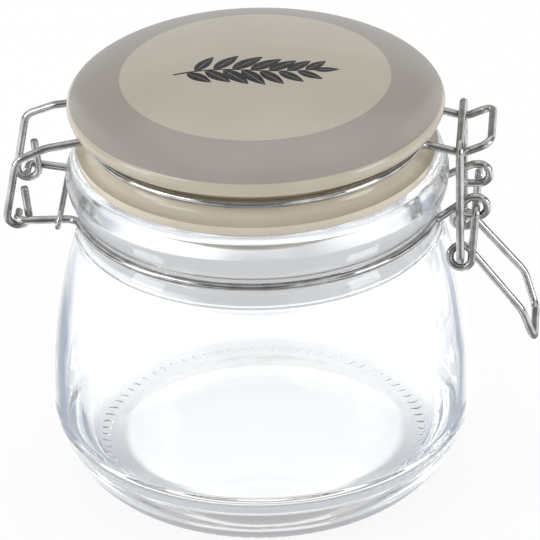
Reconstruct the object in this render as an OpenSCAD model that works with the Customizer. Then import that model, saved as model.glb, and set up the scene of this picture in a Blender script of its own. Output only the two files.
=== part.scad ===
// Clip-top storage jar: a glass jar, a glazed ceramic lid with a sealing ring, and a clamp of bent wire.
// Sizes are in millimetres. The origin is on the jar's axis, on the surface that it stands on.
// +Z is up, the hinge is towards -X and the latch towards +X.

/* [Glass jar] */
// Height of the glass jar, from its foot to the top of its rim
jar_h = 87.3; // [80:0.1:105]
// Diameter of the glass body at its widest
body_d = 106.8; // [102:0.1:116]
// Height of the widest part of the body above the foot
heel_h = 20.1; // [16:0.1:26]
// Outer diameter of the flat ring that the jar stands on
foot_d = 84.4; // [78:0.2:88]
// Width of the flat ring that the jar stands on
foot_w = 4; // [2:0.5:7]
// Rise of the hollow in the middle of the bottom
push_up = 2.5; // [1:0.1:4]
// Thickness of the glass wall
wall = 3.2; // [2.6:0.1:4]
// Thickness of the glass bottom
floor_t = 10.2; // [8:0.2:12]
// Diameter of the mouth
mouth_d = 79.6; // [77:0.1:82]
// Thickness of the glass at the widest part of the rim
rim_w = 8.1; // [7.6:0.1:9]
// Thickness of the glass behind the groove for the neck hoop
neck_w = 5.1; // [4.4:0.1:5.6]
// Height of the rim's top above the neck hoop
rim_h = 13.2; // [12:0.1:15]

/* [Ceramic lid] */
// Diameter of the lid
lid_d = 94; // [92:0.2:98]
// Rise of the domed top above the lid's widest edge
dome_h = 9.7; // [7:0.1:13]
// Thickness of the lid's rounded edge
edge_t = 6; // [4:0.1:7]
// Height from the jar's rim to the underside of the lid's edge
collar_h = 11.1; // [10:0.1:14]
// Thickness of the lid at its centre
lid_top_t = 8; // [5:0.1:9]
// Thickness of the ring that hangs into the mouth
plug_wall = 4.6; // [3:0.1:7]
// Depth of that ring below the jar's rim
plug_depth = 9.5; // [5:0.1:11]
// Depth of the groove round the collar that holds the lid wire
groove_depth = 3.8; // [3:0.1:4.4]

/* [Sealing ring] */
// Width of the sealing ring
seal_w = 5.2; // [4.4:0.1:5.4]
// Thickness of the sealing ring
seal_t = 2.3; // [1.6:0.1:3]

/* [Wire] */
// Diameter of the wire that the clamp is bent from
wire_d = 2; // [1.6:0.05:2.2]
// Diameter of the thinner wire of the tie link
tie_d = 1.5; // [1:0.05:1.8]

/* [Hinge] */
// Distance of the hinge pin outside the neck hoop
hinge_reach = 13; // [12:0.1:15]
// Distance of each hook from the jar's middle plane
hook_y = 12.4; // [11:0.1:14]
// Height of a hook's cut end above the hinge pin
hook_h = 8; // [6.5:0.1:9]
// Height of the hinge legs' corner above the hinge pin
corner_h = 15.2; // [13:0.1:17]

/* [Latch] */
// Distance of the lever's eyes from the jar's middle plane
eye_y = 8.6; // [8:0.1:10]
// Height of the lever's pivot above the neck hoop
pivot_rise = 2.8; // [2.2:0.1:3.4]
// Height from the bail's pivot up to the lever's pivot, with the latch closed
lever_drop = 13.6; // [12.5:0.1:15]
// Distance of the lever's pivot outside the bail's pivot, with the latch closed
lever_lean = 3.9; // [3:0.1:4.5]
// Distance that the lever's handle reaches outside the bail's pivot
handle_reach = 18.2; // [15:0.1:20]
// Distance that the lever's handle hangs below the bail's pivot
handle_drop = 24.2; // [20:0.1:28]
// Distance of the latch loop's low point outside the lid's edge
loop_dip_out = 4.7; // [4.2:0.1:5.4]
// Drop of the latch loop's low point below the lid wire's ring
loop_dip = 2.6; // [2:0.1:3.2]
// Length of the latch loop beyond its low point
loop_len = 7; // [6:0.1:8.5]
// Rise of the latch loop's end above its low point
loop_rise = 3; // [2.4:0.1:3.6]
// Distance of the latch loop's legs from the jar's middle plane
loop_y = 9.75; // [9:0.05:10.2]

/* [Clearances] */
// Gap between a wire and the groove that it lies in
groove_gap = 0.15; // [0.1:0.05:0.3]
// Gap between two wires that lie side by side
side_gap = 0.2; // [0.15:0.05:0.3]
// Gap all round a wire that turns in an eye or a hook
eye_play = 0.7; // [0.4:0.05:0.9]
// Gap between the sealing ring and the jar's rim
seal_gap = 0.1; // [0.05:0.05:0.3]
// Gap between the lid's plug and the jar's mouth
plug_gap = 1.8; // [1.6:0.1:2.4]
// Gap between the closed lever and the glass
rest_gap = 0.7; // [0.5:0.05:1.2]
// Gap between the closed bail and the latch loop, which the lever takes up as it passes its middle point
snap_gap = 1.2; // [1.1:0.05:1.5]

/* [Hidden] */
$fn = 72;

glass_colour = [0.82, 0.88, 0.9, 0.45];
cream = [0.8, 0.77, 0.68];
steel = [0.72, 0.72, 0.73];
rubber = [0.9, 0.89, 0.86];

wire_r = wire_d / 2;
steps = 12;
// Bending draws the wire a little thinner, and each straight length runs this far into its bends
bend_thinning = 0.02;
bend_lap = 0.04;

// Jar
body_r = body_d / 2;
foot_r = foot_d / 2;
foot_in_r = foot_r - foot_w;
mouth_r = mouth_d / 2;
rim_r = mouth_r + rim_w;
rim_taper = 1.1;
rim_top_r = rim_r - rim_taper;
crest = 2.5;
mouth_round = 0.8;
neck_r = mouth_r + neck_w;
neck_z = jar_h - rim_h;
groove_ease = 0.5;
groove_half = wire_r + groove_ease;
bead_h = 2.6;
shoulder_step = 0.9;
shoulder_drop = 6.6;
shoulder_r = neck_r + shoulder_step;
shoulder_z = neck_z - shoulder_drop;
// The heel is part of a squarish oval, which meets the foot at a slant
heel_power = 1.7;
heel_slant = 22.3;
side_dz = shoulder_z - heel_h;
side_dr = body_r - shoulder_r;
side_arc_r = (side_dr * side_dr + side_dz * side_dz) / (2 * side_dr);
inner_floor_in = 1.2;
inner_floor_r = foot_r - inner_floor_in;

// Lid, set on the jar's rim
seal_z = jar_h + seal_gap;
seat_z = seal_z + seal_t;
seal_fit = 0.15;
plug_r = mouth_r - plug_gap;
seal_in_r = plug_r + seal_fit;
seal_out_r = seal_in_r + seal_w;
skirt_w = 1.5;
skirt_in_r = seal_out_r + seal_fit;
collar_r = skirt_in_r + skirt_w;
skirt_gap = 0.4;
skirt_round = 0.4;
skirt_z = jar_h + skirt_gap;
lid_r = lid_d / 2;
edge_r = edge_t / 2;
flange_z = jar_h + collar_h;
edge_z = flange_z + edge_r;
groove_r = collar_r - groove_depth;
groove_round = 1.2;
groove_ledge = 0.4;
cove_h = 3.6;
plug_z = jar_h - plug_depth;
plug_taper = 2.4;
plug_round = 2;
hollow_r = plug_r - plug_taper - plug_wall;
hollow_z = edge_z + dome_h - lid_top_t;
hollow_round = 5;

// Rings of wire
lid_ring_r = groove_r + groove_gap + wire_r;
lid_ring_drop = 2.3;
lid_ring_z = flange_z - lid_ring_drop - wire_r;
neck_ring_r = neck_r + groove_gap + wire_r;
wire_bend = 1.8 * wire_r;
ring_bend = 2.5;
// The bends of an eye are a little tighter than the eye, so that short straight lengths join them
coil_share = 0.98;

// Hinge: the hooks of the lid wire hang round the pins at the ends of the neck wires
eye_r = 2 * wire_r + eye_play;
hinge_rise = 0.7;
hinge = [-(neck_ring_r + hinge_reach), neck_z + hinge_rise];
pin_show = 1.2;
pin_end_y = hook_y - wire_r - pin_show;
hook_lean = 1.8;
neck_leave = 20;
neck_tangent = 3.3;
neck_start = on_ring(neck_ring_r, 180 + neck_leave, neck_z);
neck_turn = neck_start - along_ring(180 + neck_leave) * neck_tangent;
// The neck legs close in towards the hoop, and still pass beside the hooks
hook_share = (eye_r + wire_r) / (neck_turn[0] - hinge[0]);
beside_hook = hook_y + wire_d + side_gap;
neck_leg_y = max(beside_hook, (beside_hook + hook_share * neck_turn[1]) / (1 - hook_share));
neck_bend = 3.2;
lid_leave = 20;
lid_tangent = 4;
corner = hinge + [0, corner_h];
corner_bend = 3.5;
leg_bend = 8;
leg_middle = [hinge[0] + 7.5, 0.8 - hook_y, lid_ring_z - 1.8];

// Latch: lever pivot, bail pivot and the bail's top bar, all seen from the front
strand_y = eye_y + wire_d + side_gap;
bail_y = strand_y + wire_d + side_gap;
coil_step = wire_d + side_gap;
lever_pivot_z = neck_z + pivot_rise;
bail_pivot_z = lever_pivot_z - lever_drop;
glass_at_bail = sqrt(pow(glass_r(bail_pivot_z - eye_r), 2) - pow(strand_y, 2));
bail_pivot = [glass_at_bail + rest_gap + eye_r + wire_r, bail_pivot_z];
lever_pivot = bail_pivot + [lever_lean, lever_drop];
loop_bend = 5;
loop_corner = 3;
loop_low = [lid_r + loop_dip_out, lid_ring_z - loop_dip];
loop_tip = loop_low + [loop_len, loop_rise];
loop_lift = 0.2;
bar_inset = 0.6;
bail_bar = loop_low + [-bar_inset, wire_d + loop_lift + snap_gap];
bail_corner = 2.6;
bail_pin_show = 0.3;
lever_pin_show = 0.9;
grip_lean = 2.9;
grip_h = 9.2;
leg_narrowing = 0.8;
grip_narrowing = 1.8;
grip_corner = 3;
handle_turn = 8;
handle_tip = bail_pivot + [handle_reach, -handle_drop];
handle_bend = handle_tip + [-grip_lean, grip_h];
handle_y = strand_y - leg_narrowing;
grip_y = handle_y - grip_narrowing;

// Eyes of the neck wires: each leaves the hoop, climbs over the lever's pivot and comes back under it
latch_leave = 17;
latch_tangent = 2.6;
latch_bend = 2.4;
eye_top = lever_pivot + [-1.4, eye_r];
eye_entry = 3;
tail = lever_pivot + [-eye_r - 2.4, 1 - eye_r];
tail_in = 0.3;
tail_bend = 2;

// Tie link beside the hinge
tie_out = 2.6;
tie_x = -neck_ring_r - tie_out;
tie_tilt = 12;

// Radius of the glass body's side at a height above the heel
function glass_r(z) = body_r - side_arc_r + sqrt(pow(side_arc_r, 2) - pow(z - heel_h, 2));

// Points of a rounded heel from (r0, z0) out and up to (r1, z1), which leaves its start at a slant
function heel(r0, z0, r1, z1, slant) = [for (i = [0 : steps])
    let (a = slant + (90 - slant) * i / steps,
         out = (1 - pow(sin(a), 2 / heel_power)) / (1 - pow(sin(slant), 2 / heel_power)),
         up = pow(cos(a) / cos(slant), 2 / heel_power))
    [r1 - (r1 - r0) * out, z1 - (z1 - z0) * up]];

// Points of part of an ellipse round a centre, between two angles
function oval(centre, a, b, from, to, n = 8) = [for (i = [0 : n])
    let (t = from + (to - from) * i / n)
    centre + [a * cos(t), b * sin(t)]];

// Points of a soft step in radius from (r0, z0) to (r1, z1)
function soft_step(r0, z0, r1, z1, n = 6) = [for (i = [1 : n - 1])
    let (t = i / n)
    [r0 + (r1 - r0) * (1 - cos(180 * t)) / 2, z0 + (z1 - z0) * t]];

// Outline of the jar's outside, from the middle of the bottom to the rim
jar_outside = concat(
    [for (i = [0 : 5]) let (r = foot_in_r * i / 5) [r, push_up * (1 - pow(i / 5, 2))]],
    heel(foot_r, 0, body_r, heel_h, heel_slant),
    [for (i = [1 : steps]) let (z = heel_h + side_dz * i / steps) [glass_r(z), z]],
    soft_step(shoulder_r, shoulder_z, neck_r, neck_z - groove_half),
    [[neck_r, neck_z - groove_half]],
    oval([neck_r, neck_z + groove_half + bead_h], rim_w - neck_w, bead_h, -90, 0),
    oval([rim_top_r - crest, jar_h - crest], crest, crest, 0, 90));

// Outline of the jar's inside, from the rim to the middle of the floor
inner_top_z = neck_z + 1;
inner_side_z = shoulder_z - 2.4;
inner_heel_z = heel_h - 2.6;
jar_inside = concat(
    oval([mouth_r + mouth_round, jar_h - mouth_round], mouth_round, mouth_round, 90, 180, 4),
    [[mouth_r, inner_top_z]],
    soft_step(mouth_r, inner_top_z, glass_r(inner_side_z) - wall, inner_side_z),
    [for (i = [0 : steps])
        let (z = inner_side_z + (inner_heel_z - inner_side_z) * i / steps)
        [glass_r(z) - wall, z]],
    [for (i = [1 : steps])
        heel(inner_floor_r, floor_t, glass_r(inner_heel_z) - wall, inner_heel_z, 0)[steps - i]],
    [[0, floor_t + push_up / 2]]);

module glass_jar() {
    color(glass_colour)
        rotate_extrude()
            polygon(concat(jar_outside, jar_inside));
}

// Half section of the lid: domed top, round edge, wire groove, collar, seat for the seal, plug and hollow
lid_section = concat(
    oval([0, edge_z], lid_r, dome_h, 90, 0, 20),
    oval([lid_r - edge_r, edge_z], edge_r, edge_r, 0, -90),
    oval([groove_r + groove_round, flange_z - groove_round], groove_round, groove_round, 90, 180, 4),
    oval([collar_r, lid_ring_z - wire_r - groove_ledge], groove_depth, cove_h, 180, 270),
    [[collar_r, skirt_z + skirt_round], [collar_r - skirt_round, skirt_z], [skirt_in_r, skirt_z]],
    [[skirt_in_r, seat_z], [plug_r, seat_z]],
    oval([plug_r - plug_taper - plug_round, plug_z + plug_round], plug_round, plug_round, 0, -90, 5),
    [[hollow_r, plug_z]],
    oval([hollow_r - hollow_round, hollow_z - hollow_round], hollow_round, hollow_round, 0, 90, 6),
    [[0, hollow_z]]);

module ceramic_lid() {
    color(cream)
        rotate_extrude()
            polygon(lid_section);
}

module sealing_ring() {
    lip = 0.5;
    color(rubber)
        rotate_extrude()
            polygon([[seal_in_r, seal_z + lip], [seal_in_r + lip, seal_z], [seal_out_r - lip, seal_z],
                     [seal_out_r, seal_z + lip], [seal_out_r, seat_z], [seal_in_r, seat_z]]);
}

function unit(v) = v / norm(v);
function turned(v, a) = [v[0] * cos(a) - v[1] * sin(a), v[0] * sin(a) + v[1] * cos(a)];
function at_y(p, y) = [p[0], y, p[1]];
function on_ring(r, a, z) = [r * cos(a), r * sin(a), z];
function along_ring(a) = [-sin(a), cos(a), 0];
function bend_angle(a, b, c) = acos(max(-1, min(1, unit(b - a) * unit(c - b))));

// A straight length of wire
module rod(a, b, d) {
    v = b - a;
    translate(a)
        rotate([0, acos(v[2] / norm(v)), atan2(v[1], v[0])])
            cylinder(h = norm(v), d = d);
}

// The bend of a wire at point b, on its way from a to c
module wire_corner(a, b, c, r, d) {
    u = unit(b - a);
    w = unit(c - b);
    angle = bend_angle(a, b, c);
    n = unit(w - u * (u * w));
    side = cross(u, n);
    centre = b - u * r * tan(angle / 2) + n * r;
    multmatrix([[-n[0], u[0], side[0], centre[0]],
                [-n[1], u[1], side[1], centre[1]],
                [-n[2], u[2], side[2], centre[2]],
                [0, 0, 0, 1]])
        rotate_extrude(angle = angle)
            translate([r, 0])
                circle(d = d - bend_thinning);
}

// A wire that runs through points, with a bend radius for each point between its ends
module bent_wire(points, radii, d = wire_d) {
    last = len(points) - 1;
    trim = [for (i = [0 : last])
        i == 0 || i == last ? 0 :
        radii[i - 1] * tan(bend_angle(points[i - 1], points[i], points[i + 1]) / 2)];
    for (i = [0 : last - 1]) {
        v = unit(points[i + 1] - points[i]);
        from = points[i] + v * (trim[i] - (trim[i] > 0 ? bend_lap : 0));
        to = points[i + 1] - v * (trim[i + 1] - (trim[i + 1] > 0 ? bend_lap : 0));
        rod(from, to, d);
    }
    for (i = [1 : last - 1])
        wire_corner(points[i - 1], points[i], points[i + 1], radii[i - 1], d);
}

// Part of a flat ring of wire, between two angles, which runs on into the straight lengths at its ends
module wire_arc(r, z, from, to) {
    lap = bend_lap / r * 180 / PI;
    translate([0, 0, z])
        rotate([0, 0, from - lap])
            rotate_extrude(angle = to - from + 2 * lap)
                translate([r, 0])
                    circle(d = wire_d - bend_thinning);
}

module both_sides() {
    children();
    mirror([0, 1, 0])
        children();
}

// Front half of the lid wire: hook, hinge leg, half of the ring and half of the latch loop
module half_lid_wire() {
    down = turned(unit(hinge - corner), -asin(eye_r / norm(hinge - corner)));
    tip = hinge + [hook_lean, hook_h];
    up = turned(unit(tip - hinge), asin(eye_r / norm(tip - hinge)));
    low_left = hinge + eye_r * [-tan(acos(down[0]) / 2), -1];
    low_right = hinge + eye_r * [tan(acos(up[0]) / 2), -1];
    hinge_start = on_ring(lid_ring_r, 180 + lid_leave, lid_ring_z);
    hinge_turn = hinge_start - along_ring(180 + lid_leave) * lid_tangent;
    latch_start = on_ring(lid_ring_r, -lid_leave, lid_ring_z);
    latch_turn = latch_start + along_ring(-lid_leave) * (-loop_y - latch_start[1]) / cos(lid_leave);
    bent_wire([at_y(tip, -hook_y), at_y(low_right, -hook_y), at_y(low_left, -hook_y), at_y(corner, -hook_y),
               leg_middle, hinge_turn, hinge_start],
              [eye_r, eye_r, corner_bend, leg_bend, ring_bend]);
    wire_arc(lid_ring_r, lid_ring_z, 180 + lid_leave, 360 - lid_leave);
    bent_wire([latch_start, latch_turn, at_y(loop_low, -loop_y), at_y(loop_tip, -loop_y), at_y(loop_tip, 0)],
              [ring_bend, loop_bend, loop_corner]);
}

module lid_wire() {
    color(steel)
        both_sides()
            half_lid_wire();
}

// Front half of the neck hoop: hinge pin, leg, half of the ring and the eye for the lever
module half_neck_hoop() {
    latch_start = on_ring(neck_ring_r, -latch_leave, neck_z);
    latch_turn = latch_start + along_ring(-latch_leave) * latch_tangent;
    bent_wire([at_y(hinge, -pin_end_y), at_y(hinge, -neck_leg_y), neck_turn, neck_start],
              [wire_bend, neck_bend]);
    wire_arc(neck_ring_r, neck_z, 180 + neck_leave, 360 - latch_leave);
    bent_wire([latch_start, latch_turn, at_y(eye_top, -eye_y), at_y(lever_pivot + [eye_r, eye_r], -eye_y),
               at_y(lever_pivot + [eye_r, -eye_r], -eye_y), at_y(lever_pivot + [-eye_r, -eye_r], -eye_y),
               at_y(tail, tail_in - eye_y)],
              [latch_bend, eye_entry, coil_share * eye_r, coil_share * eye_r, tail_bend]);
}

module front_neck_wire() {
    color(steel)
        half_neck_hoop();
}

module back_neck_wire() {
    color(steel)
        mirror([0, 1, 0])
            half_neck_hoop();
}

// Closed link round both neck wires, just outside the neck
module tie_link() {
    link_r = wire_r + side_gap + tie_d / 2;
    leg_share = (tie_x - hinge[0]) / (neck_turn[0] - hinge[0]);
    leg_y = neck_leg_y + (-neck_turn[1] - neck_leg_y) * leg_share;
    leg_z = hinge[1] + (neck_z - hinge[1]) * leg_share;
    outer = leg_y + link_r;
    color(steel)
        translate([tie_x, 0, leg_z])
            rotate([0, tie_tilt, 0])
                both_sides()
                    bent_wire([[0, 0, -link_r], [0, -outer, -link_r], [0, -outer, link_r], [0, 0, link_r]],
                              [coil_share * link_r, coil_share * link_r], tie_d);
}

// Front half of the lever: pivot pin, strand, coiled eye, handle leg and half of the grip bar
module half_lever() {
    to_eye = bail_pivot - lever_pivot;
    strand = turned(unit(to_eye), asin(eye_r / norm(to_eye)));
    out = [-strand[1], strand[0]];
    to_bend = handle_bend - bail_pivot;
    leg = turned(unit(to_bend), -asin(eye_r / norm(to_bend)));
    leave = acos(out * leg);
    inner_y = strand_y - coil_step;
    coil_r = coil_share * eye_r;
    bent_wire([at_y(lever_pivot, lever_pin_show + wire_r - eye_y), at_y(lever_pivot, -strand_y),
               at_y(bail_pivot + eye_r * (out + strand), -strand_y),
               at_y(bail_pivot + eye_r * (strand - out), -strand_y + coil_step / 3),
               at_y(bail_pivot - eye_r * (strand + out), -strand_y + 2 * coil_step / 3),
               at_y(bail_pivot + eye_r * (out * tan(leave / 2) - strand), -inner_y),
               at_y(handle_bend, -handle_y), at_y(handle_tip, -grip_y), at_y(handle_tip, 0)],
              [wire_bend, coil_r, coil_r, coil_r, coil_r, handle_turn, grip_corner]);
}

module clamp_lever() {
    color(steel)
        both_sides()
            half_lever();
}

module latch_bail() {
    pin_in_y = strand_y - coil_step - wire_r - bail_pin_show;
    color(steel)
        both_sides()
            bent_wire([at_y(bail_bar, 0), at_y(bail_bar, -bail_y), at_y(bail_pivot, -bail_y),
                       at_y(bail_pivot, -pin_in_y)],
                      [bail_corner, wire_bend]);
}

glass_jar();
ceramic_lid();
sealing_ring();
lid_wire();
front_neck_wire();
back_neck_wire();
tie_link();
clamp_lever();
latch_bail();
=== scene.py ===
"""The looks of a clip-top herb storage jar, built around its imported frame.

Lengths of the jar are in millimetres, in the part's own frame, and become metres where a mesh is made.
"""
import math

import bmesh
import bpy
from mathutils import Matrix, Vector


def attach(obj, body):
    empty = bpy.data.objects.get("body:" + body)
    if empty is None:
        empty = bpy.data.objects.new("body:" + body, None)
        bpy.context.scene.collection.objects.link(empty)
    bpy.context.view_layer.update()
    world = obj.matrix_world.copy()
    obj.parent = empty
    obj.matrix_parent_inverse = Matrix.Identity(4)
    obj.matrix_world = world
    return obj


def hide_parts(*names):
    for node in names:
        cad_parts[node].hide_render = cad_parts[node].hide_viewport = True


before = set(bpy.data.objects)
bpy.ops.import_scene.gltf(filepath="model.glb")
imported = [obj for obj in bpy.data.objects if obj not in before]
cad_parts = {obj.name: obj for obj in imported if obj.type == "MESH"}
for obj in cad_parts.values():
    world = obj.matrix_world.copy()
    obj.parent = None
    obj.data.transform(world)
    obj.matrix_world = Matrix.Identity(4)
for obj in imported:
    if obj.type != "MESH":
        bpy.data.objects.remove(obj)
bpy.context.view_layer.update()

MM = 0.001
TINY = 1e-6
SEGMENTS = 240

# The glass jar
JAR_H = 87.3
BODY_R = 53.4
HEEL_H = 20.1
HEEL_SLANT = 22.3
HEEL_POWER = 1.7
FOOT_OUT_R = 42.2
FOOT_IN_R = 38.2
FOOT_EDGE = 0.4
PUSH_UP = 2.5
WALL = 3.2
FLOOR_T = 10.2
MOUTH_R = 39.8
MOUTH_ROUND = 0.8
MOUTH_FLARE = 0.9
NECK_R = 44.9
NECK_Z = 74.1
THROAT_Z = NECK_Z + 1
GROOVE_HALF = 1.5
BEAD_W = 3.0
BEAD_H = 7.0
RIM_TOP_R = 46.8
CREST = 1.7
SHOULDER_R = 45.8
SHOULDER_Z = 67.5
INNER_SIDE_Z = 65.1
INNER_HEEL_Z = 17.5
INNER_HEEL_POWER = 1.3
INNER_FLOOR_R = 41.0
KNURLS = 80
KNURL_STEPS = 12
KNURL_DEPTH = 0.16
KNURL_CURL = 0.16
KNURL_IN_R = FOOT_IN_R + FOOT_EDGE
KNURL_OUT_R = FOOT_OUT_R + 1.2
SEAM_Z = 68.2
SEAM_HALF = 0.28
SEAM_PROUD = 0.16
HAZE_START_Z = NECK_Z + 2
HAZE_FULL_Z = NECK_Z + 7

# The ceramic lid
LID_R = 47.0
DOME_H = 9.65
EDGE_Z = 101.4
EDGE_ROUND = 3.0
FLANGE_Z = 98.4
GROOVE_R = 41.2
GROOVE_ROUND = 1.2
COLLAR_R = 45.0
COVE_Z = 93.7
COVE_H = 3.6
SKIRT_Z = 87.7
SKIRT_ROUND = 0.4
SKIRT_IN_R = 43.5
SEAT_Z = 89.7
PLUG_R = 38.0
PLUG_FOOT_R = 35.6
PLUG_Z = 77.8
PLUG_ROUND = 2.0
HOLLOW_R = 31.0
HOLLOW_Z = 103.1
HOLLOW_ROUND = 5.0
DISC_R = 33.75
BAND_Z = 102.9
BAND_SOFT = 0.12
BAND_WANDER = 0.1
# Where the collar's top, under the flange, gets painted shade
UNDER_FLANGE_SHADE_LOW_Z = 91.0
UNDER_FLANGE_SHADE_TOP_Z = 95.5
UNDER_FLANGE_SHADE_IN_R = 39.0
UNDER_FLANGE_SHADE_OUT_R = 40.5

# The sealing ring
SEAL_IN_R = 38.15
SEAL_OUT_R = 43.35
SEAL_Z = 87.4
SEAL_LIP = 0.5
SEAL_EDGE = 0.25
SEAL_RIB = 0.12

# The wires, with points of the middle plane as (x, z)
WIRE_D = 2.0
WIRE_R = WIRE_D / 2
WIRE_BEND = 1.8
WIRE_CHAMFER = 0.16
SIDE_GAP = 0.2
EYE_R = 2.7
NEAR_ROUND = 0.98
COIL_R = NEAR_ROUND * EYE_R
HINGE = Vector((-59.05, 74.8))
LEVER_PIVOT = Vector((54.9569, 76.9))
BAIL_PIVOT = Vector((51.0569, 63.3))

LID_RING_R = 42.35
LID_RING_Z = 95.1
LID_LEAVE = 20
RING_BEND = 2.5
HOOK_Y = 12.4
HOOK_TOP = HINGE + Vector((0, 15.2))
HOOK_TIP = HINGE + Vector((1.8, 8))
LEG_MIDDLE = Vector((HINGE[0] + 7.5, 0.8 - HOOK_Y, LID_RING_Z - 1.8))
LEG_LEAD = 4
LEG_BENDS = (3.5, 8)
LOOP_Y = 9.75
LOOP_LOW = Vector((51.7, 92.5))
LOOP_TIP = Vector((58.7, 95.5))
LOOP_BENDS = (5, 3)

NECK_RING_R = 46.05
NECK_HINGE_ANGLE = 200
NECK_HINGE_LEAD = 3.3
NECK_LATCH_ANGLE = -17
NECK_LATCH_LEAD = 2.6
NECK_LEG_Y = 15.2593
NECK_LEG_BEND = 3.2
PIN_END_Y = 10.2
EYE_Y = 8.6
EYE_START = LEVER_PIVOT + Vector((-1.4, EYE_R))
EYE_TAIL = LEVER_PIVOT + Vector((-EYE_R - 2.4, 1 - EYE_R))
EYE_TAIL_Y = 8.3
EYE_BENDS = (2.4, 3, COIL_R, COIL_R, 2)

TIE_D = 1.5
TIE_X = -NECK_RING_R - 2.6
TIE_TILT = 12

LEVER_PIN_Y = EYE_Y - WIRE_R - 0.9
STRAND_Y = 10.8
HANDLE_Y = 10.0
HANDLE_BEND = Vector((66.3569, 48.3))
GRIP_Y = 8.2
HANDLE_TIP = Vector((69.2569, 39.1))
HANDLE_BENDS = (8, 3)

BAIL_BAR = Vector((51.1, 95.9))
BAIL_Y = 13.0
BAIL_PIN_Y = STRAND_Y - WIRE_D - SIDE_GAP - WIRE_R - 0.3
BAIL_BEND = 2.6

# The sprig of leaves that is printed in the glaze of the lid
PRINT_TOP = 0.03
PRINT_SUNK = 0.06
STEM_X = -2.5
STEM_Y = -2.2
STEM_HALF = 17.5
STEM_RISE = 2.8
STEM_WAVE = 0.9
STEM_THICK = 0.32
STEM_TAPER = 0.62
LEAF_PAIRS = 7
FIRST_LEAF = 0.12
LAST_LEAF = 0.90
LONGEST_LEAF = 0.42
LEAF_LENGTH = 10.0
LEAF_SHRINK = 3.4
LEAF_WIDTH = 0.19
LEAF_ANGLE = 54
LEAF_CLOSING = 18
LEAF_STAGGER = 0.03
LEAF_STALK = 0.3
MIDRIB_HALF = 0.05
MIDRIB_BOW = 0.1
END_LEAF = 0.99
END_LEAF_LENGTH = 6.4
END_LEAF_WIDTH = 1.15

# Colours as linear light
GLASS_TINT = (0.985, 0.995, 1.0)
CREAM = (0.455, 0.418, 0.352)
TAUPE = (0.322, 0.295, 0.270)
# Lighter copies of the cream: painted light on the lid's edge and on its collar
EDGE_CREAM_PAINTED_LIGHT = (0.50, 0.455, 0.365)
COLLAR_CREAM_PAINTED_LIGHT = (0.625, 0.57, 0.46)
# Painted shade on the collar's top, under the flange
UNDER_FLANGE_PAINTED_SHADE = (0.42, 0.36, 0.25)
CLOUD_DARK = (0.97, 0.97, 0.965)
CLOUD_LIGHT = (1.02, 1.02, 1.02)
SPECK = (0.2, 0.17, 0.13)
INK = (0.016, 0.015, 0.016)
RUBBER = (0.62, 0.60, 0.55)
WIRE_LIGHT = (0.60, 0.60, 0.59)
WIRE_DARK = (0.40, 0.40, 0.39)
WHITE = (1.0, 1.0, 1.0)


def grey(value):
    return (value, value, value)


def dimmed(colour, share):
    return tuple(share * c for c in colour)


def spread(start, end, steps):
    """Evenly spaced numbers from start to end."""
    return [start + (end - start) * i / steps for i in range(steps + 1)]


def arc(centre, a, b, start, end, steps):
    """Points of an ellipse's arc, from one angle in degrees to another."""
    points = []
    for angle in spread(start, end, steps):
        t = math.radians(angle)
        points.append((centre[0] + a * math.cos(t), centre[1] + b * math.sin(t)))
    return points


def rounding(r, z, radius, start, end, steps):
    """An arc of a circle round a point of the outline's plane."""
    return arc((r, z), radius, radius, start, end, steps)


def soft_step(r0, z0, r1, z1, steps):
    """A smooth change of radius with height."""
    points = []
    for t in spread(0, 1, steps):
        ease = (1 - math.cos(math.pi * t)) / 2
        points.append((r0 + (r1 - r0) * ease, z0 + (z1 - z0) * t))
    return points


def heel(foot, side, slant, power, steps):
    """The round of a heel, from the foot's (r, z) to the side's."""
    first = math.radians(slant)
    bend = 2 / power
    points = []
    for a in spread(first, math.pi / 2, steps):
        out = (1 - math.sin(a) ** bend) / (1 - math.sin(first) ** bend)
        up = (math.cos(a) / math.cos(first)) ** bend
        points.append((side[0] - (side[0] - foot[0]) * out, side[1] - (side[1] - foot[1]) * up))
    return points


def glass_r(z):
    """Outer radius of the jar's side at a height."""
    dr = BODY_R - SHOULDER_R
    dz = SHOULDER_Z - HEEL_H
    radius = (dr * dr + dz * dz) / (2 * dr)
    return BODY_R - radius + math.sqrt(radius * radius - (z - HEEL_H) ** 2)


def dome_z(x, y):
    """Height of the lid's domed top over a point."""
    return EDGE_Z + DOME_H * math.sqrt(1 - (x * x + y * y) / (LID_R * LID_R))


def tidy(points):
    """The points without neighbours that fall together."""
    kept = [points[0]]
    for p in points[1:]:
        if math.dist(p, kept[-1]) > 1e-4:
            kept.append(p)
    return kept


def finished(name, verts, faces, sharp=32):
    """A new smooth-shaded object, its points in millimetres, with its normals outwards."""
    mesh = bpy.data.meshes.new(name)
    mesh.from_pydata([tuple(c * MM for c in v) for v in verts], [], faces)
    shape = bmesh.new()
    shape.from_mesh(mesh)
    bmesh.ops.recalc_face_normals(shape, faces=shape.faces)
    shape.to_mesh(mesh)
    shape.free()
    mesh.shade_smooth()
    mesh.set_sharp_from_angle(angle=math.radians(sharp))
    obj = bpy.data.objects.new(name, mesh)
    bpy.context.scene.collection.objects.link(obj)
    return obj


def bridge(low, high):
    """Faces between two rings, of which one may be a point or may have more segments."""
    n = len(high)
    if len(low) == n:
        return [(low[i], low[(i + 1) % n], high[(i + 1) % n], high[i]) for i in range(n)]
    if len(low) > n:
        return [tuple(reversed(face)) for face in bridge(high, low)]
    if len(low) == 1:
        return [(low[0], high[(i + 1) % n], high[i]) for i in range(n)]
    share = n // len(low)
    middle = share // 2
    faces = []
    for i, v in enumerate(low):
        after = low[(i + 1) % len(low)]
        fan = [high[(i * share + k) % n] for k in range(share + 1)]
        for k in range(share):
            faces.append((v if k < middle else after, fan[k + 1], fan[k]))
        faces.append((v, after, fan[middle]))
    return faces


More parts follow.
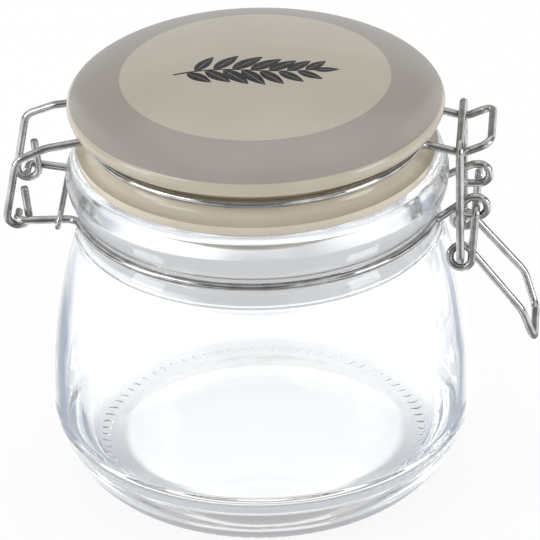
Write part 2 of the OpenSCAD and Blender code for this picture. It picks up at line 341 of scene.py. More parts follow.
def joined(rings, closed):
    """Faces between each ring and the next."""
    pairs = list(zip(rings, rings[1:]))
    if closed:
        pairs.append((rings[-1], rings[0]))
    return [face for low, high in pairs for face in bridge(low, high)]


def lathe(name, outline, closed=False, knurled=False):
    """Turns an outline round the Z axis: from the axis to the axis, or a closed ring."""
    verts, rings = [], []
    for r, z in outline:
        if r < TINY:
            rings.append([len(verts)])
            verts.append((0, 0, z))
            continue
        fine = knurled and on_knurls(r, z)
        count = KNURLS * KNURL_STEPS if fine else SEGMENTS
        rings.append(list(range(len(verts), len(verts) + count)))
        for i in range(count):
            a = 2 * math.pi * i / count
            verts.append((r * math.cos(a), r * math.sin(a), z + knurl(r, a) if fine else z))
    return finished(name, verts, joined(rings, closed))


class Nodes:
    """A node tree, with short calls to fill it."""

    def __init__(self, owner):
        owner.use_nodes = True
        self.owner = owner
        self.tree = owner.node_tree
        self.shader = self.tree.nodes.get("Principled BSDF")

    def add(self, kind, **values):
        node = self.tree.nodes.new(kind)
        for key, value in values.items():
            setattr(node, key, value)
        return node

    def link(self, source, target):
        self.tree.links.new(source, target)

    def feed(self, value, socket):
        """Links an output to a socket, or sets a number or colour on it."""
        if isinstance(value, tuple):
            socket.default_value = (*value, 1)
        elif isinstance(value, (int, float)):
            socket.default_value = value
        else:
            self.link(value, socket)

    def place(self, output="Object"):
        """Where a point is on its own piece."""
        return self.add("ShaderNodeTexCoord").outputs[output]

    def split(self, vector):
        node = self.add("ShaderNodeSeparateXYZ")
        self.link(vector, node.inputs["Vector"])
        return node.outputs

    def noise(self, scale, detail=3.0):
        node = self.add("ShaderNodeTexNoise")
        node.inputs["Scale"].default_value = scale
        node.inputs["Detail"].default_value = detail
        self.link(self.place(), node.inputs["Vector"])
        return node.outputs["Fac"]

    def span(self, value, low, high, to_low=0.0, to_high=1.0):
        """A value spread from one range onto another, smoothly and held at its ends."""
        node = self.add("ShaderNodeMapRange", interpolation_type="SMOOTHSTEP")
        self.link(value, node.inputs["Value"])
        ends = {"From Min": low, "From Max": high, "To Min": to_low, "To Max": to_high}
        for key, number in ends.items():
            node.inputs[key].default_value = number
        return node.outputs["Result"]

    def window(self, value, low, low_full, high_full, high):
        """1 between two limits and 0 outside them, with soft ends."""
        return self.math("MULTIPLY", self.span(value, low, low_full), self.span(value, high, high_full))

    def math(self, operation, first, second=0.0):
        node = self.add("ShaderNodeMath", operation=operation)
        self.feed(first, node.inputs[0])
        self.feed(second, node.inputs[1])
        return node.outputs["Value"]

    def length(self, x, y):
        squares = self.math("ADD", self.math("MULTIPLY", x, x), self.math("MULTIPLY", y, y))
        return self.math("SQRT", squares)

    def mix(self, factor, first, second, blend="MIX"):
        node = self.add("ShaderNodeMix", data_type="RGBA", blend_type=blend)
        self.feed(factor, node.inputs["Factor"])
        self.feed(first, node.inputs[6])
        self.feed(second, node.inputs[7])
        return node.outputs[2]

    def bump(self, height, strength, distance):
        node = self.add("ShaderNodeBump")
        node.inputs["Strength"].default_value = strength
        node.inputs["Distance"].default_value = distance
        self.link(height, node.inputs["Height"])
        self.link(node.outputs["Normal"], self.shader.inputs["Normal"])

    def set(self, **values):
        """Sets or links the shader's own sockets."""
        for key, value in values.items():
            self.feed(value, self.shader.inputs[key.replace("_", " ")])


def new_material(name):
    return Nodes(bpy.data.materials.new(name))


def glass_material():
    """Clear pressed glass, with the faint waves of its mould, a few smears and a duller rim."""
    n = new_material("clear_glass")
    n.set(Base_Color=GLASS_TINT, Transmission_Weight=1.0, IOR=1.5)
    on_rim = n.span(n.split(n.place())["Z"], HAZE_START_Z * MM, HAZE_FULL_Z * MM)
    haze = n.math("MULTIPLY", on_rim, n.span(n.noise(90), 0.3, 0.7, 0.08, 0.18))
    n.set(Roughness=n.math("ADD", n.span(n.noise(30, 4), 0.5, 0.75, 0.0, 0.03), haze))
    n.bump(n.noise(55, 2), 0.12, 0.0006)
    return n.owner


def glaze_material():
    """Cream glaze with a taupe band round the dome, a little uneven in colour and gloss, with painted
    light as lighter cream on the edge and collar, and painted shade on the collar's top under the
    flange.
    """
    n = new_material("lid_glaze")
    x, y, z = n.split(n.place())
    radius = n.length(x, y)
    uneven = n.math("ADD", radius, n.math("MULTIPLY", n.noise(900, 2), BAND_WANDER * MM))
    in_band = n.span(uneven, (DISC_R - BAND_SOFT) * MM, (DISC_R + BAND_SOFT) * MM)
    on_top = n.span(z, (BAND_Z - BAND_SOFT) * MM, (BAND_Z + BAND_SOFT) * MM)
    on_edge = n.span(z, (FLANGE_Z - 1) * MM, FLANGE_Z * MM)
    # Painted shade on the collar's top, under the flange
    high = n.span(z, UNDER_FLANGE_SHADE_LOW_Z * MM, UNDER_FLANGE_SHADE_TOP_Z * MM)
    outside = n.span(radius, UNDER_FLANGE_SHADE_IN_R * MM, UNDER_FLANGE_SHADE_OUT_R * MM)
    # Painted light: lighter copies of the cream on the collar and on the edge
    collar = n.mix(n.math("MULTIPLY", high, outside), COLLAR_CREAM_PAINTED_LIGHT, UNDER_FLANGE_PAINTED_SHADE)
    below = n.mix(on_edge, collar, EDGE_CREAM_PAINTED_LIGHT)
    colour = n.mix(on_top, below, n.mix(in_band, CREAM, TAUPE))
    cloud = n.mix(n.span(n.noise(45), 0.3, 0.7), CLOUD_DARK, CLOUD_LIGHT)
    clouded = n.mix(1.0, colour, cloud, blend="MULTIPLY")
    specks = n.math("MULTIPLY", n.span(n.noise(1400, 2), 0.62, 0.74), 0.08)
    n.set(Base_Color=n.mix(specks, clouded, SPECK))
    n.set(Roughness=n.span(n.noise(160), 0.3, 0.7, 0.15, 0.22))
    n.bump(n.noise(420, 2), 0.08, 0.0002)
    return n.owner


def ink_material():
    """Charcoal print in the glaze, a little thin in places."""
    n = new_material("glaze_ink")
    n.set(Base_Color=n.mix(n.span(n.noise(1600), 0.35, 0.75), INK, dimmed(INK, 2.2)))
    n.set(Roughness=n.span(n.noise(300, 2), 0.3, 0.7, 0.2, 0.28))
    return n.owner


def wire_material():
    """Drawn steel wire: bright, with fine die marks and duller patches."""
    n = new_material("bright_wire")
    n.set(Metallic=1.0)
    n.set(Base_Color=n.mix(n.span(n.noise(240, 4), 0.35, 0.7), WIRE_LIGHT, WIRE_DARK))
    n.set(Roughness=n.span(n.noise(700, 4), 0.3, 0.75, 0.08, 0.2))
    n.bump(n.noise(2600), 0.08, 0.00008)
    return n.owner


def rubber_material():
    """Pale moulded rubber with a fine dull skin."""
    n = new_material("seal_rubber")
    n.set(Base_Color=n.mix(n.noise(120, 4), dimmed(RUBBER, 0.92), RUBBER))
    n.set(Roughness=n.span(n.noise(500), 0.3, 0.7, 0.5, 0.65))
    n.bump(n.noise(3000), 0.15, 0.0001)
    return n.owner


def dress(obj, material):
    obj.data.materials.clear()
    obj.data.materials.append(material)


def add_piece(obj, material, body, slot, *nodes):
    """Gives a piece its finish and the body that it moves with, and hides the solids that it stands for.
    """
    dress(obj, material)
    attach(obj, body)
    if nodes:
        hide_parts(*nodes)


def on_knurls(r, z):
    return z < PUSH_UP and KNURL_IN_R - TINY <= r <= KNURL_OUT_R + TINY


def knurl(r, angle):
    """Depth of the short grooves under the foot, each one curled like a comma."""
    across = (2 * r - KNURL_IN_R - KNURL_OUT_R) / (KNURL_OUT_R - KNURL_IN_R)
    turn = KNURLS * angle / (2 * math.pi) + KNURL_CURL * math.cos(1.9 * across)
    groove = max(0.0, math.cos(2 * math.pi * turn)) ** 1.5
    fade = math.sqrt(max(0.0, 1 - across * across))
    return KNURL_DEPTH * groove * fade


def jar_outline():
    """From the middle of the bottom round the outside to the rim, and down the inside."""
    outside = [(r, PUSH_UP * (1 - (r / FOOT_IN_R) ** 2)) for r in spread(0, FOOT_IN_R, 24)]
    outside += [(r, 0.0) for r in spread(FOOT_IN_R + FOOT_EDGE, FOOT_OUT_R - FOOT_EDGE, 8)]
    outside += heel((FOOT_OUT_R, 0), (BODY_R, HEEL_H), HEEL_SLANT, HEEL_POWER, 36)
    outside += [(glass_r(z), z) for z in spread(HEEL_H, SHOULDER_Z, 40)]
    for r, z in soft_step(SHOULDER_R, SHOULDER_Z, NECK_R, NECK_Z - GROOVE_HALF, 44):
        outside.append((r + SEAM_PROUD * max(0.0, 1 - abs(z - SEAM_Z) / SEAM_HALF), z))
    outside += arc((NECK_R, NECK_Z + GROOVE_HALF + BEAD_H), BEAD_W, BEAD_H, -90, 0, 12)
    outside += rounding(RIM_TOP_R - CREST, JAR_H - CREST, CREST, 0, 90, 12)
    inside = rounding(MOUTH_R + MOUTH_ROUND, JAR_H - MOUTH_ROUND, MOUTH_ROUND, 90, 180, 8)
    side_r = glass_r(INNER_SIDE_Z) - WALL
    inside += soft_step(MOUTH_R + MOUTH_FLARE, THROAT_Z, side_r, INNER_SIDE_Z, 20)
    inside += [(glass_r(z) - WALL, z) for z in spread(INNER_SIDE_Z, HEEL_H, 40)]
    side = (glass_r(INNER_HEEL_Z) - WALL, INNER_HEEL_Z)
    inside += reversed(heel((INNER_FLOOR_R, FLOOR_T), side, 0, INNER_HEEL_POWER, 30))
    for r in spread(INNER_FLOOR_R, 0, 20):
        inside.append((r, FLOOR_T + PUSH_UP / 2 * (1 - (r / INNER_FLOOR_R) ** 2)))
    return tidy(outside + inside)


def lid_outline():
    """From the top of the dome round the edge, the collar and the plug to the hollow."""
    outline = arc((0, EDGE_Z), LID_R, DOME_H, 90, 0, 72)
    outline += rounding(LID_R - EDGE_ROUND, EDGE_Z, EDGE_ROUND, 0, -90, 14)
    outline += rounding(GROOVE_R + GROOVE_ROUND, FLANGE_Z - GROOVE_ROUND, GROOVE_ROUND, 90, 180, 8)
    outline += arc((COLLAR_R, COVE_Z), COLLAR_R - GROOVE_R, COVE_H, 180, 270, 18)
    outline += rounding(COLLAR_R - SKIRT_ROUND, SKIRT_Z + SKIRT_ROUND, SKIRT_ROUND, 0, -90, 5)
    outline += [(SKIRT_IN_R, SKIRT_Z), (SKIRT_IN_R, SEAT_Z), (PLUG_R, SEAT_Z)]
    outline += rounding(PLUG_FOOT_R - PLUG_ROUND, PLUG_Z + PLUG_ROUND, PLUG_ROUND, 0, -90, 8)
    outline += [(HOLLOW_R, PLUG_Z)]
    outline += rounding(HOLLOW_R - HOLLOW_ROUND, HOLLOW_Z - HOLLOW_ROUND, HOLLOW_ROUND, 0, 90, 12)
    return tidy(outline + [(0, HOLLOW_Z)])


def seal_outline():
    """A flat ring with round lips and two shallow ribs on the side that meets the rim."""
    first, last = SEAL_IN_R + SEAL_LIP, SEAL_OUT_R - SEAL_LIP
    outline = rounding(first, SEAL_Z + SEAL_LIP, SEAL_LIP, 180, 270, 6)
    for r in spread(first, last, 24)[1:-1]:
        wave = math.cos(4 * math.pi * (r - first) / (last - first))
        outline.append((r, SEAL_Z + SEAL_RIB * (0.5 + 0.5 * wave)))
    outline += rounding(last, SEAL_Z + SEAL_LIP, SEAL_LIP, 270, 360, 6)
    outline += rounding(SEAL_OUT_R - SEAL_EDGE, SEAT_Z - SEAL_EDGE, SEAL_EDGE, 0, 90, 4)
    outline += rounding(SEAL_IN_R + SEAL_EDGE, SEAT_Z - SEAL_EDGE, SEAL_EDGE, 90, 180, 4)
    return tidy(outline)


def at_y(p, y):
    """A point of the middle plane, moved to one side."""
    return Vector((p[0], y, p[1]))


def on_ring(r, angle, z):
    a = math.radians(angle)
    return Vector((r * math.cos(a), r * math.sin(a), z))


def along_ring(angle):
    a = math.radians(angle)
    return Vector((-math.sin(a), math.cos(a), 0))


def turned(v, angle):
    c, s = math.cos(angle), math.sin(angle)
    return Vector((v[0] * c - v[1] * s, v[0] * s + v[1] * c))


def ring_arc(r, z, start, end):
    """Points of a flat ring of wire between two angles."""
    return [on_ring(r, a, z) for a in spread(start, end, round(abs(end - start) / 1.5))]


def bent(points, radii, step=6.0):
    """Close points of a wire through points, with a bend radius for each one between its ends."""
    path = [points[0]]
    for a, b, c, radius in zip(points, points[1:], points[2:], radii):
        u = (b - a).normalized()
        w = (c - b).normalized()
        angle = u.angle(w)
        inwards = (w - u * u.dot(w)).normalized()
        centre = b - u * radius * math.tan(angle / 2) + inwards * radius
        for t in spread(0, angle, max(3, round(math.degrees(angle) / step))):
            path.append(centre + radius * (u * math.sin(t) - inwards * math.cos(t)))
    return path + [points[-1]]


def mirrored(half):
    """A wire whose second half is the mirror image of its first, which ends on the middle plane."""
    return half + [Vector((p[0], -p[1], p[2])) for p in reversed(half)]


def tube(name, path, diameter, closed=False, sides=24):
    """A round wire along a path, with its cut ends slightly chamfered."""
    points = [path[0]]
    for p in path[1:]:
        if (p - points[-1]).length > 1e-3:
            points.append(p)
    if closed and (points[0] - points[-1]).length < 1e-3:
        points.pop()
    last = len(points) - 1
    radius = diameter / 2
    verts, rings = [], []

    def point(p):
        rings.append([len(verts)])
        verts.append(p)

    def ring(centre, normal, binormal, r):
        rings.append(list(range(len(verts), len(verts) + sides)))
        for k in range(sides):
            a = 2 * math.pi * k / sides
            verts.append(centre + r * (normal * math.cos(a) + binormal * math.sin(a)))

    across = None
    for i, p in enumerate(points):
        before = points[i - 1] if closed or i else p
        after = points[(i + 1) % len(points)] if closed or i < last else p
        t = (after - before).normalized()
        if across is None:
            across = t.orthogonal()
        across = (across - t * across.dot(t)).normalized()
        other = t.cross(across)
        if not closed and i == 0:
            point(p)
            ring(p, across, other, radius - WIRE_CHAMFER)
            ring(p + t * WIRE_CHAMFER, across, other, radius)
        elif not closed and i == last:
            ring(p - t * WIRE_CHAMFER, across, other, radius)
            ring(p, across, other, radius - WIRE_CHAMFER)
            point(p)
        else:
            ring(p, across, other, radius)
    return finished(name, verts, joined(rings, closed))


def lid_wire_path():
    """Hook, hinge leg, ring and latch loop of the lid wire's front half, and the same behind."""
    down = HINGE - HOOK_TOP
    down = turned(down.normalized(), -math.asin(EYE_R / down.length))
    rise = HOOK_TIP - HINGE
    rise = turned(rise.normalized(), math.asin(EYE_R / rise.length))
    low_left = HINGE + EYE_R * Vector((-math.tan(math.acos(down[0]) / 2), -1))
    low_right = HINGE + EYE_R * Vector((math.tan(math.acos(rise[0]) / 2), -1))
    hinge_start = on_ring(LID_RING_R, 180 + LID_LEAVE, LID_RING_Z)
    hinge_turn = hinge_start - along_ring(180 + LID_LEAVE) * LEG_LEAD
    latch_start = on_ring(LID_RING_R, -LID_LEAVE, LID_RING_Z)
    reach = (-LOOP_Y - latch_start[1]) / math.cos(math.radians(LID_LEAVE))
    latch_turn = latch_start + along_ring(-LID_LEAVE) * reach
    half = bent(
        [at_y(p, -HOOK_Y) for p in (HOOK_TIP, low_right, low_left, HOOK_TOP)]
        + [LEG_MIDDLE, hinge_turn, hinge_start],
        [EYE_R, EYE_R, *LEG_BENDS, RING_BEND],
    )
    half += ring_arc(LID_RING_R, LID_RING_Z, 180 + LID_LEAVE, 360 - LID_LEAVE)
    half += bent(
        [latch_start, latch_turn]
        + [at_y(LOOP_LOW, -LOOP_Y), at_y(LOOP_TIP, -LOOP_Y), at_y(LOOP_TIP, 0)],
        [RING_BEND, *LOOP_BENDS],
    )
    return mirrored(half)


def neck_hinge_end():
    """Where the neck hoop's front half leaves its ring for the hinge, and where it then turns."""
    start = on_ring(NECK_RING_R, NECK_HINGE_ANGLE, NECK_Z)
    return start, start - along_ring(NECK_HINGE_ANGLE) * NECK_HINGE_LEAD


def neck_wire_path(side):
    """Hinge pin, leg, half ring and lever eye of the neck hoop's front half, or its mirror image."""
    hinge_start, hinge_turn = neck_hinge_end()
    latch_start = on_ring(NECK_RING_R, NECK_LATCH_ANGLE, NECK_Z)
    latch_turn = latch_start + along_ring(NECK_LATCH_ANGLE) * NECK_LATCH_LEAD
    half = bent(
        [at_y(HINGE, -PIN_END_Y), at_y(HINGE, -NECK_LEG_Y), hinge_turn, hinge_start],
        [WIRE_BEND, NECK_LEG_BEND],
    )
    half += ring_arc(NECK_RING_R, NECK_Z, NECK_HINGE_ANGLE, 360 + NECK_LATCH_ANGLE)
    eye = [EYE_START] + [LEVER_PIVOT + EYE_R * Vector(c) for c in ((1, 1), (1, -1), (-1, -1))]
    half += bent(
        [latch_start, latch_turn] + [at_y(p, -EYE_Y) for p in eye] + [at_y(EYE_TAIL, -EYE_TAIL_Y)],
        EYE_BENDS,
    )
    return [Vector((p[0], side * p[1], p[2])) for p in half]


def tie_path():
    """The closed link round both neck wires."""
    turn = neck_hinge_end()[1]
    share = (TIE_X - HINGE[0]) / (turn[0] - HINGE[0])
    leg_y = NECK_LEG_Y + (-turn[1] - NECK_LEG_Y) * share
    leg_z = HINGE[1] + (NECK_Z - HINGE[1]) * share
    link_r = WIRE_R + SIDE_GAP + TIE_D / 2
    outer = leg_y + link_r
    corners = ((0, -link_r), (-outer, -link_r), (-outer, link_r), (0, link_r))
    half = bent([Vector((0, y, z)) for y, z in corners], [NEAR_ROUND * link_r] * 2)
    tilt = Matrix.Rotation(math.radians(TIE_TILT), 3, "Y")
    return [tilt @ p + Vector((TIE_X, 0, leg_z)) for p in mirrored(half)]


def lever_path():
    """Pivot pin, strand, coiled eye, handle leg and grip bar of the lever, half and half."""
    to_eye = BAIL_PIVOT - LEVER_PIVOT
    strand = turned(to_eye.normalized(), math.asin(EYE_R / to_eye.length))
    out = Vector((-strand[1], strand[0]))
    to_bend = HANDLE_BEND - BAIL_PIVOT
    leg = turned(to_bend.normalized(), -math.asin(EYE_R / to_bend.length))
    leave = math.acos(out.dot(leg))
    coil = (out + strand, strand - out, -strand - out, out * math.tan(leave / 2) - strand)
    step = (WIRE_D + SIDE_GAP) / 3
    half = bent(
        [at_y(LEVER_PIVOT, -LEVER_PIN_Y), at_y(LEVER_PIVOT, -STRAND_Y)]
        + [at_y(BAIL_PIVOT + EYE_R * p, -STRAND_Y + i * step) for i, p in enumerate(coil)]
        + [at_y(HANDLE_BEND, -HANDLE_Y), at_y(HANDLE_TIP, -GRIP_Y), at_y(HANDLE_TIP, 0)],
        [WIRE_BEND, COIL_R, COIL_R, COIL_R, COIL_R, *HANDLE_BENDS],
    )
    return mirrored(half)


def bail_path():
    """Pin, leg and top bar of the bail, half and half."""
    pin, leg = at_y(BAIL_PIVOT, -BAIL_PIN_Y), at_y(BAIL_PIVOT, -BAIL_Y)
    return mirrored(bent([pin, leg, at_y(BAIL_BAR, -BAIL_Y), at_y(BAIL_BAR, 0)], [WIRE_BEND, BAIL_BEND]))


def stem_point(t):
    """The stem's middle line from its foot at 0 to its tip at 1."""
    wave = STEM_WAVE * math.sin(2 * math.pi * t)
    return Vector((STEM_X + STEM_HALF * (2 * t - 1), STEM_Y + STEM_RISE * (t - 0.5) + wave))


def stem_heading(t):
    return (stem_point(t + 0.01) - stem_point(t - 0.01)).normalized()


def stem_patch():
    rows = []
    for t in spread(0, 1, 60):
        heading = stem_heading(t)
        across = Vector((-heading[1], heading[0])) * STEM_THICK * (1 - STEM_TAPER * t)
        rows.append([stem_point(t) + across * s for s in (-1, 0, 1)])
    return rows


def leaf_patch(foot, heading, length, width, side):
    """Half a leaf: rows of points from its midrib to its edge."""
    across = Vector((-heading[1], heading[0])) * side
    rows = []
    for t in spread(0, 1, 16):
        half = width * math.sin(math.pi * t ** 0.8) ** 0.85 if 0 < t < 1 else 0.0
        spine = foot + heading * length * t + across * (MIDRIB_HALF + MIDRIB_BOW * t * (1 - t))
        rows.append([spine + across * half * s for s in spread(0, 1, 4)])
    return rows


def sprig_patches():
    """The stem, pairs of leaves along it and one leaf at its end."""
    patches = [stem_patch()]
    for t in spread(FIRST_LEAF, LAST_LEAF, LEAF_PAIRS - 1):
        length = LEAF_LENGTH - LEAF_SHRINK * abs(t - LONGEST_LEAF) / (1 - LONGEST_LEAF)
        for hand in (-1, 1):
            foot_t = t + LEAF_STAGGER * hand
            angle = math.radians(LEAF_ANGLE - LEAF_CLOSING * t) * hand
            heading = turned(stem_heading(foot_t), angle)
            foot = stem_point(foot_t) + heading * LEAF_STALK
            for side in (-1, 1):
                patches.append(leaf_patch(foot, heading, length, LEAF_WIDTH * length, side))
    foot, heading = stem_point(END_LEAF), stem_heading(END_LEAF)
    for side in (-1, 1):
        patches.append(leaf_patch(foot, heading, END_LEAF_LENGTH, END_LEAF_WIDTH, side))
    return patches


def sprig():
    """The print as thin closed patches that follow the dome."""
    verts, faces = [], []
    for rows in sprig_patches():
        start = len(verts)
        deep, wide = len(rows), len(rows[0])
        for lift in (PRINT_TOP, -PRINT_SUNK):
            for row in rows:
                verts += [(p[0], p[1], dome_z(p[0], p[1]) + lift) for p in row]

        def corner(i, k, low):
            return start + i * wide + k + (deep * wide if low else 0)

        for i in range(deep - 1):
            for k in range(wide - 1):
                square = ((i, k), (i + 1, k), (i + 1, k + 1), (i, k + 1))
                for low in (False, True):
                    faces.append([corner(*c, low) for c in square])
        rim = [(i, 0) for i in range(deep)]
        rim += [(deep - 1, k) for k in range(1, wide)]
        rim += [(i, wide - 1) for i in range(deep - 2, -1, -1)]
        rim += [(0, k) for k in range(wide - 2, 0, -1)]
        for a, b in zip(rim, rim[1:] + rim[:1]):
            faces.append([corner(*a, False), corner(*b, False), corner(*b, True), corner(*a, True)])
    obj = finished("lid_sprig", verts, faces, sharp=50)
    shape = bmesh.new()
    shape.from_mesh(obj.data)
    bmesh.ops.remove_doubles(shape, verts=shape.verts, dist=1e-7)
    bmesh.ops.dissolve_degenerate(shape, edges=shape.edges, dist=1e-7)
    bmesh.ops.recalc_face_normals(shape, faces=shape.faces)
    shape.to_mesh(obj.data)
    shape.free()
    return obj


jar = lathe("jar_glass", jar_outline(), knurled=True)
add_piece(jar, glass_material(), "root", "clear_glass", "glass_jar")
lid = lathe("lid_dome", lid_outline())
add_piece(lid, glaze_material(), "lid", "lid_glaze", "ceramic_lid")
add_piece(sprig(), ink_material(), "lid", "lid_glaze")
seal = lathe("seal_ring", seal_outline(), closed=True)
add_piece(seal, rubber_material(), "lid", "seal_rubber", "sealing_ring")
steel = wire_material()
for name, path, body, node in (
    ("lid_clasp_wire", lid_wire_path(), "lid", "lid_wire"),
    ("neck_wire_front", neck_wire_path(1), "root", "front_neck_wire"),
    ("neck_wire_back", neck_wire_path(-1), "root", "back_neck_wire"),
    ("lever_wire", lever_path(), "lever", "clamp_lever"),
    ("bail_wire", bail_path(), "bail", "latch_bail"),
):
    add_piece(tube(name, path, WIRE_D), steel, body, "bright_wire", node)
tie = tube("tie_wire", tie_path(), TIE_D, closed=True)
add_piece(tie, steel, "root", "bright_wire", "tie_link")

# The floor, in metres: a white wedge under and behind the jar, greyer beside it
FLOOR_HALF = 0.9
FLOOR_DROP = 0.2 * MM
WEDGE_HALF = 55 * MM
WEDGE_FLARE = 0.36
WEDGE_SOFT = 12 * MM
WEDGE_BACK = 62 * MM
BACK_HALF = 10 * MM
BACK_FLARE = 0.9
WEDGE_FRONT = -65 * MM
END_SOFT = 22 * MM
FRONT_START = -35 * MM
FRONT_SOFT = 40 * MM
PALE_START = 120 * MM
PALE_END = 220 * MM
PALE_SOFT = 35 * MM
CARD_X = 120 * MM
CARD_SOFT = 30 * MM
SHADE_IN_R = 34 * MM
SHADE_SHIFT = 3.5 * MM
SHADE_OUT_R = 47.5 * MM
SHADE_SOFT = 2.5 * MM
SHADE_TURN = 25 * MM
FAR_GREY = (0.45, 0.45, 0.46)
SHADE_FRONT = (0.50, 0.51, 0.54)
SHADE_BACK = (0.90, 0.91, 0.93)
MIRROR_GREY = grey(0.24)
THROUGH_GREY = (0.33, 0.38, 0.47)
FRONT_GREY = (0.70, 0.73, 0.78)
PALE_GREY = (0.82, 0.83, 0.85)
FLOOR_PLAIN = grey(0.9)

# The room, as light from each direction
ROOM_MIDDLE = (0.42, 0.42, 0.43)
ROOM_SIDE = (0.38, 0.42, 0.49)
ROOM_FRONT = (0.85, 0.87, 0.90)
ROOM_TOP = grey(0.75)
GLOSS_DARK = grey(0.17)
GLOSS_BACK = grey(0.65)
GLOSS_CARD = grey(0.95)
EVEN_FRONT = grey(0.66)
EVEN_BACK = grey(1.1)
LAMP_AIM = Vector((0, 0, 60 * MM))


def floor_colour(n, path):
    """What glass and metal show of the floor: white under the jar, with a shade under its foot."""
    x, y, _ = n.split(n.place())
    aside = n.math("ABSOLUTE", x)
    half = n.math("ADD", n.math("MULTIPLY", n.math("MAXIMUM", y, 0.0), WEDGE_FLARE), WEDGE_HALF)
    beside = n.span(n.math("SUBTRACT", aside, half), 0, WEDGE_SOFT)
    off_middle = n.math("MAXIMUM", n.math("SUBTRACT", aside, BACK_HALF), 0.0)
    depth = n.math("SUBTRACT", y, n.math("MULTIPLY", off_middle, BACK_FLARE))
    behind = n.span(depth, WEDGE_BACK, WEDGE_BACK + END_SOFT)
    before = n.span(y, WEDGE_FRONT, WEDGE_FRONT - END_SOFT)
    inner = n.length(x, n.math("SUBTRACT", y, SHADE_SHIFT))
    shaded = n.math(
        "MULTIPLY",
        n.span(inner, SHADE_IN_R, SHADE_IN_R + SHADE_SOFT),
        n.span(n.length(x, y), SHADE_OUT_R, SHADE_OUT_R - SHADE_SOFT),
    )
    shade = n.mix(n.span(y, -SHADE_TURN, SHADE_TURN), SHADE_FRONT, SHADE_BACK)
    middle = n.mix(shaded, n.mix(behind, WHITE, FAR_GREY), shade)
    in_metal = n.mix(n.span(aside, CARD_X, CARD_X + CARD_SOFT), MIRROR_GREY, WHITE)
    near = n.mix(n.span(y, FRONT_START, FRONT_START - FRONT_SOFT), THROUGH_GREY, FRONT_GREY)
    pale = n.window(aside, PALE_START, PALE_START + PALE_SOFT, PALE_END, PALE_END + PALE_SOFT)
    in_glass = n.mix(pale, near, PALE_GREY)
    around = n.mix(path["Is Transmission Ray"], in_metal, in_glass)
    return n.mix(n.math("MAXIMUM", beside, before), middle, around)


def floor_material():
    """White to the eye, with part of the jar's shadow, and greyer around the jar in glass and metal."""
    n = new_material("floor")
    n.tree.nodes.remove(n.shader)
    path = n.add("ShaderNodeLightPath").outputs
    unseen = n.math("MAXIMUM", path["Is Glossy Ray"], path["Is Transmission Ray"])
    seen = n.math("MAXIMUM", path["Is Camera Ray"], unseen)
    white = n.add("ShaderNodeEmission")
    n.feed(n.mix(unseen, WHITE, floor_colour(n, path)), white.inputs["Color"])
    n.feed(n.span(unseen, 0, 1, 1.0, 1.2), white.inputs["Strength"])
    plain = n.add("ShaderNodeBsdfDiffuse")
    n.feed(FLOOR_PLAIN, plain.inputs["Color"])
    both = n.add("ShaderNodeMixShader")
    n.feed(n.span(seen, 0, 1, 0.45, 0.9), both.inputs["Fac"])
    n.link(plain.outputs["BSDF"], both.inputs[1])
    n.link(white.outputs["Emission"], both.inputs[2])
    n.link(both.outputs["Shader"], n.tree.nodes["Material Output"].inputs["Surface"])
    return n.owner


def make_floor():
    mesh = bpy.data.meshes.new("floor")
    square = ((-1, -1), (1, -1), (1, 1), (-1, 1))
    corners = [(x * FLOOR_HALF, y * FLOOR_HALF, -FLOOR_DROP) for x, y in square]
    mesh.from_pydata(corners, [], [(0, 1, 2, 3)])
    floor = bpy.data.objects.new("floor", mesh)
    bpy.context.scene.collection.objects.link(floor)
    dress(floor, floor_material())


def make_world():
    """White to the eye, even light on the jar, and a greyer room for glass and metal to show."""
    world = bpy.data.worlds.new("studio")
    bpy.context.scene.world = world
    n = Nodes(world)
    path = n.add("ShaderNodeLightPath").outputs
    x, y, z = n.split(n.place("Generated"))
    above = n.span(z, 0.5, 0.95)
    room_back = n.mix(n.span(n.math("ABSOLUTE", x), 0.3, 0.8), ROOM_MIDDLE, ROOM_SIDE)
    room = n.mix(n.span(y, 0.1, -0.3), room_back, ROOM_FRONT)
    in_glass = n.mix(above, room, ROOM_TOP)
    left_card = n.window(x, -0.95, -0.85, -0.6, -0.45)
    right_card = n.window(x, 0.3, 0.45, 0.65, 0.8)
    gloss_room = n.mix(n.span(y, 0.82, 0.98), GLOSS_DARK, GLOSS_BACK)
    carded = n.mix(n.math("MAXIMUM", left_card, right_card), gloss_room, GLOSS_CARD)
    in_metal = n.mix(above, carded, ROOM_TOP)
    even = n.mix(n.span(y, -0.8, 0.8), EVEN_FRONT, EVEN_BACK)
    light = n.mix(path["Is Glossy Ray"], even, in_metal)
    unseen = n.mix(path["Is Transmission Ray"], light, in_glass)
    n.feed(n.mix(path["Is Camera Ray"], unseen, WHITE), n.tree.nodes["Background"].inputs["Color"])


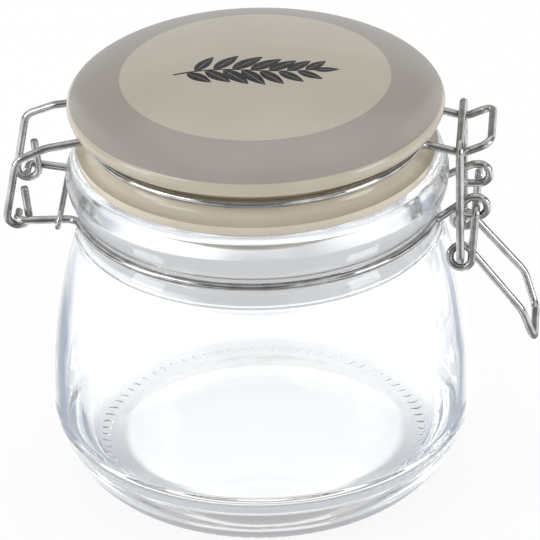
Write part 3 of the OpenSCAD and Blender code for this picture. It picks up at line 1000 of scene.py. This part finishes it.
def softbox(name, direction, distance, width, height, watts):
    """A soft lamp that faces the jar."""
    data = bpy.data.lights.new(name, "AREA")
    data.shape = "RECTANGLE"
    data.size = width
    data.size_y = height
    data.energy = watts
    lamp = bpy.data.objects.new(name, data)
    away = Vector(direction).normalized()
    lamp.location = LAMP_AIM + away * distance
    lamp.rotation_euler = away.to_track_quat("Z", "Y").to_euler()
    lamp.visible_camera = False
    bpy.context.scene.collection.objects.link(lamp)


make_floor()
make_world()
softbox("key", (-0.68, -0.48, 0.55), 1.3, 0.6, 0.25, 2.0)
softbox("left", (-0.9, -0.35, 0.2), 1.3, 0.5, 0.5, 3.5)
softbox("right", (0.95, -0.3, 0.2), 1.3, 0.5, 0.5, 4.0)
softbox("top", (0.0, 0.5, 1.0), 1.3, 0.9, 0.9, 1.0)

# The camera, at the photograph's angle
AIM = Vector((0, 0, 44.1 * MM))
AIM_RIGHT = 2.37 * MM
AIM_UP = 7.85 * MM
AZIMUTH = math.radians(-4.5)
ELEVATION = math.radians(29.6)
ROLL = math.radians(1.4)
DISTANCE = 1.6
LENS = 422.4
SENSOR = 36


def make_camera():
    flat = math.cos(ELEVATION)
    ahead = Vector((math.sin(AZIMUTH) * flat, math.cos(AZIMUTH) * flat, -math.sin(ELEVATION)))
    level = Vector((math.cos(AZIMUTH), -math.sin(AZIMUTH), 0))
    upright = level.cross(ahead)
    right = math.cos(ROLL) * level - math.sin(ROLL) * upright
    up = math.sin(ROLL) * level + math.cos(ROLL) * upright
    place = AIM - DISTANCE * ahead
    back = (place - (AIM + AIM_RIGHT * right + AIM_UP * up)).normalized()
    side = up.cross(back).normalized()
    data = bpy.data.cameras.new("camera")
    data.lens = LENS
    data.sensor_width = SENSOR
    data.clip_start = 0.05
    data.clip_end = 50
    camera = bpy.data.objects.new("camera", data)
    axes = Matrix((side, back.cross(side), back)).transposed().to_4x4()
    camera.matrix_world = Matrix.Translation(place) @ axes
    bpy.context.scene.collection.objects.link(camera)
    bpy.context.scene.camera = camera


make_camera()
scene = bpy.context.scene
scene.view_settings.view_transform = "Standard"
# Light bounces many times inside the thick glass of the foot and the rim
scene.cycles.max_bounces = 48
scene.cycles.glossy_bounces = 32
scene.cycles.transmission_bounces = 48
